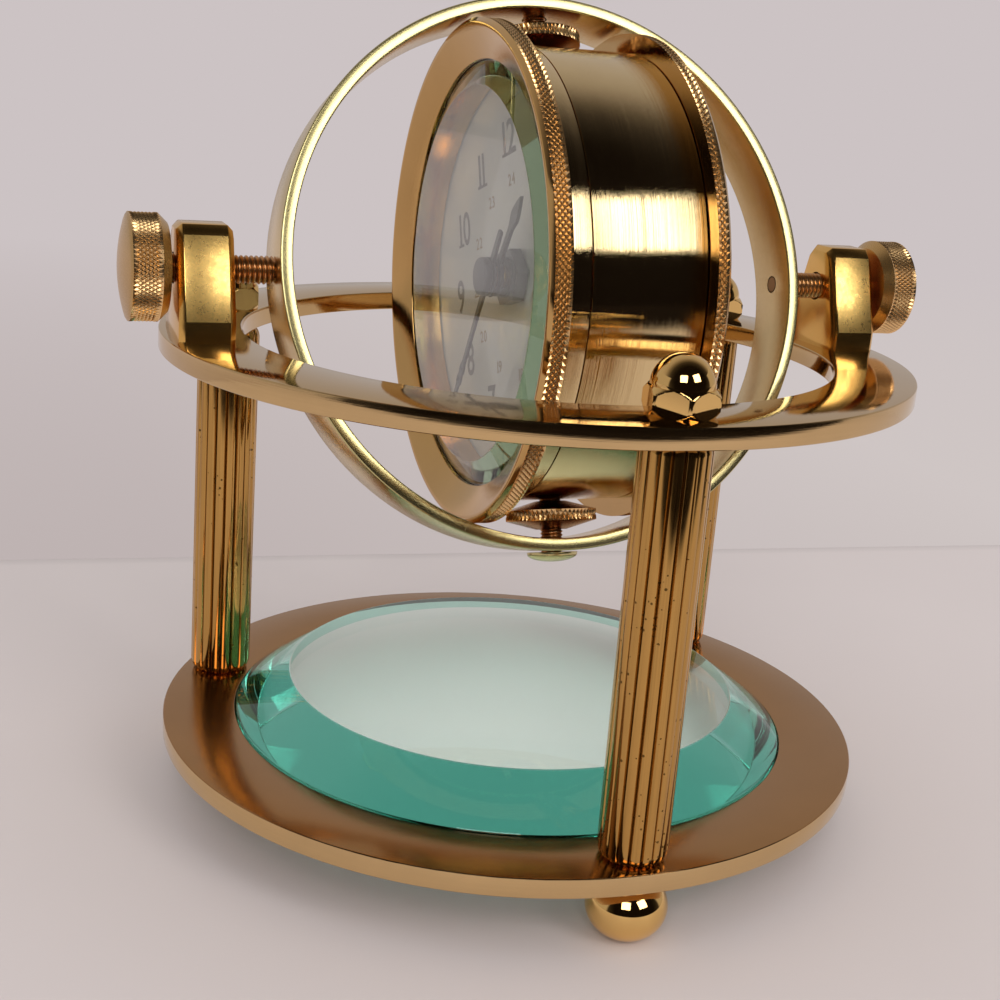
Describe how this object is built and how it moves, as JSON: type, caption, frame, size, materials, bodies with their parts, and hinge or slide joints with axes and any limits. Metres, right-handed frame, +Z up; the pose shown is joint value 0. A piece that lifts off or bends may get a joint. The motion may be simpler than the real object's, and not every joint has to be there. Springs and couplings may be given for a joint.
{
  "type": "gimbal desk clock",
  "caption": "Gimbal desk clock: a polished brass drum clock that turns in a tilting ring, hung between thumbscrews on an open brass ring stand with reeded posts and a bevelled glass base.",
  "frame": {"origin": "centre of the round stand, on the surface that its feet rest on", "axes": "+Z up, +X along the thumbscrews' tilt axis towards the right-hand thumbscrew, with the dial facing -X; +Y from the front post to the rear of the stand"},
  "size_m": [0.1822, 0.1644, 0.1791],
  "materials": {
    "satin_brass": "turned satin with fine rings",
    "polished_brass": "mirror polished",
    "reeded_brass": "reeded and polished",
    "knurled_brass": "diamond knurled",
    "threaded_brass": "threaded",
    "gear_brass": "stamped",
    "steel": "plain",
    "base_glass": "polished, wide ground bevel",
    "clock_glass": "polished, narrow bevel",
    "gasket": "soft black",
    "dial": "matt light grey",
    "hands": "dark satin",
    "black_plastic": "moulded",
    "board": "green laminate",
    "copper": "wound enamelled wire",
    "cell": "plain wrapped can"
  },
  "bodies": {
    "stand": {"base_ring": "satin_brass", "base_glass": "base_glass", "foot_front": "polished_brass", "foot_right": "polished_brass", "foot_left": "polished_brass", "post_front": "reeded_brass", "post_right": "reeded_brass", "post_left": "reeded_brass", "tie_rod_front": "steel", "tie_rod_right": "steel", "tie_rod_left": "steel", "cap_nut_front": "polished_brass", "cap_nut_right": "polished_brass", "cap_nut_left": "polished_brass", "top_ring": "satin_brass", "pivot_block_left": "polished_brass", "pivot_block_right": "polished_brass", "block_screw_left": "steel", "block_screw_right": "steel"},
    "pin_left": {"pivot_pin_left": "steel"},
    "pin_right": {"pivot_pin_right": "steel"},
    "thumbscrew_left": {"thumbscrew_knob_left": "knurled_brass", "thumbscrew_stud_left": "threaded_brass"},
    "thumbscrew_right": {"thumbscrew_knob_right": "knurled_brass", "thumbscrew_stud_right": "threaded_brass"},
    "gimbal": {"gimbal_ring": "polished_brass"},
    "lock_nut_upper": {"lock_nut_upper": "knurled_brass"},
    "lock_nut_lower": {"lock_nut_lower": "knurled_brass"},
    "drum": {"pivot_screw_upper": "threaded_brass", "pivot_screw_lower": "threaded_brass", "case_tube": "polished_brass", "clock_glass": "clock_glass", "glass_gasket": "gasket", "dial": "dial", "dial_ring": "steel", "movement_front_case": "black_plastic", "movement_back_case": "black_plastic", "battery": "cell", "battery_contact_left": "steel", "battery_contact_right": "steel", "stator": "steel", "coil": "copper", "circuit_board": "board", "dial_nut": "gear_brass"},
    "front_bezel": {"front_bezel": "knurled_brass"},
    "rear_bezel": {"rear_bezel": "knurled_brass", "back_cover": "satin_brass"},
    "minute_hand_set": {"cannon_arbor": "gear_brass", "minute_hand": "hands", "hand_cap": "hands"},
    "hour_hand_set": {"hour_wheel": "gear_brass", "hour_hand": "hands"},
    "motion_wheel": {"minute_wheel": "gear_brass"},
    "setting_knob": {"setting_knob": "black_plastic"},
    "centre_wheel": {"centre_wheel": "gear_brass"},
    "third_wheel": {"third_wheel": "gear_brass"},
    "fourth_wheel": {"fourth_wheel": "gear_brass"},
    "step_wheel": {"step_wheel": "gear_brass"},
    "rotor": {"rotor": "steel"}
  },
  "joints": [
    {"name": "pin_left_slide", "type": "slide", "parent": "stand", "child": "pin_left", "axis": [-1, 0, 0], "range_m": [0, 0.002]},
    {"name": "pin_right_slide", "type": "slide", "parent": "stand", "child": "pin_right", "axis": [1, 0, 0], "range_m": [0, 0.002]},
    {"name": "thumbscrew_left_turn", "type": "hinge", "parent": "pin_left", "child": "thumbscrew_left", "pos_m": [-0.0816, 0, 0.11929], "axis": [-1, 0, 0], "range_deg": [0, 720]},
    {"name": "thumbscrew_right_turn", "type": "hinge", "parent": "pin_right", "child": "thumbscrew_right", "pos_m": [0.0816, 0, 0.11929], "axis": [1, 0, 0], "range_deg": [0, 720]},
    {"name": "gimbal_tilt", "type": "hinge", "parent": "stand", "child": "gimbal", "pos_m": [0, 0, 0.11929], "axis": [1, 0, 0], "continuous": true},
    {"name": "drum_turn", "type": "hinge", "parent": "gimbal", "child": "drum", "pos_m": [0, 0, 0.11929], "axis": [0, 0.3123, 0.95], "continuous": true},
    {"name": "lock_nut_upper_turn", "type": "hinge", "parent": "drum", "child": "lock_nut_upper", "pos_m": [0, 0.01627, 0.16878], "axis": [0, 0.3123, 0.95], "range_deg": [0, 360]},
    {"name": "lock_nut_lower_turn", "type": "hinge", "parent": "drum", "child": "lock_nut_lower", "pos_m": [0, -0.01627, 0.06979], "axis": [0, -0.3123, -0.95], "range_deg": [0, 360]},
    {"name": "front_bezel_turn", "type": "hinge", "parent": "drum", "child": "front_bezel", "pos_m": [-0.0156, 0, 0.11929], "axis": [-1, 0, 0], "range_deg": [0, 360]},
    {"name": "rear_bezel_turn", "type": "hinge", "parent": "drum", "child": "rear_bezel", "pos_m": [0.0163, 0, 0.11929], "axis": [1, 0, 0], "range_deg": [0, 360]},
    {"name": "minute_hand_turn", "type": "hinge", "parent": "drum", "child": "minute_hand_set", "pos_m": [-0.0098, 0, 0.11929], "axis": [1, 0, 0], "continuous": true},
    {"name": "hour_hand_turn", "type": "hinge", "parent": "drum", "child": "hour_hand_set", "pos_m": [-0.0086, 0, 0.11929], "axis": [1, 0, 0], "continuous": true},
    {"name": "motion_wheel_turn", "type": "hinge", "parent": "drum", "child": "motion_wheel", "pos_m": [-0.0042, -0.009, 0.119], "axis": [1, 0, 0], "continuous": true},
    {"name": "setting_knob_turn", "type": "hinge", "parent": "drum", "child": "setting_knob", "pos_m": [-0.0042, -0.0179, 0.12029], "axis": [1, 0, 0], "continuous": true},
    {"name": "rotor_turn", "type": "hinge", "parent": "drum", "child": "rotor", "pos_m": [-0.0042, 0.02221, 0.13308], "axis": [1, 0, 0], "continuous": true},
    {"name": "step_wheel_turn", "type": "hinge", "parent": "drum", "child": "step_wheel", "pos_m": [-0.0042, 0.01617, 0.12768], "axis": [1, 0, 0], "continuous": true},
    {"name": "fourth_wheel_turn", "type": "hinge", "parent": "drum", "child": "fourth_wheel", "pos_m": [-0.0042, 0.00875, 0.13353], "axis": [1, 0, 0], "continuous": true},
    {"name": "third_wheel_turn", "type": "hinge", "parent": "drum", "child": "third_wheel", "pos_m": [-0.0042, -0.00248, 0.13118], "axis": [1, 0, 0], "continuous": true},
    {"name": "centre_wheel_turn", "type": "hinge", "parent": "drum", "child": "centre_wheel", "pos_m": [-0.0042, 0, 0.11929], "axis": [1, 0, 0], "continuous": true}
  ],
  "couplings": [
    {"joint": "thumbscrew_left_turn", "follows": "pin_left_slide", "rad_per_m": 6283},
    {"joint": "thumbscrew_right_turn", "follows": "pin_right_slide", "rad_per_m": 6283},
    {"joint": "hour_hand_turn", "follows": "minute_hand_turn", "ratio": 0.083333},
    {"joint": "motion_wheel_turn", "follows": "minute_hand_turn", "ratio": -0.33333},
    {"joint": "setting_knob_turn", "follows": "minute_hand_turn", "ratio": 1},
    {"joint": "step_wheel_turn", "follows": "rotor_turn", "ratio": -0.2},
    {"joint": "fourth_wheel_turn", "follows": "rotor_turn", "ratio": 0.033333},
    {"joint": "third_wheel_turn", "follows": "rotor_turn", "ratio": -0.0044444},
    {"joint": "centre_wheel_turn", "follows": "rotor_turn", "ratio": 0.00055556}
  ]
}
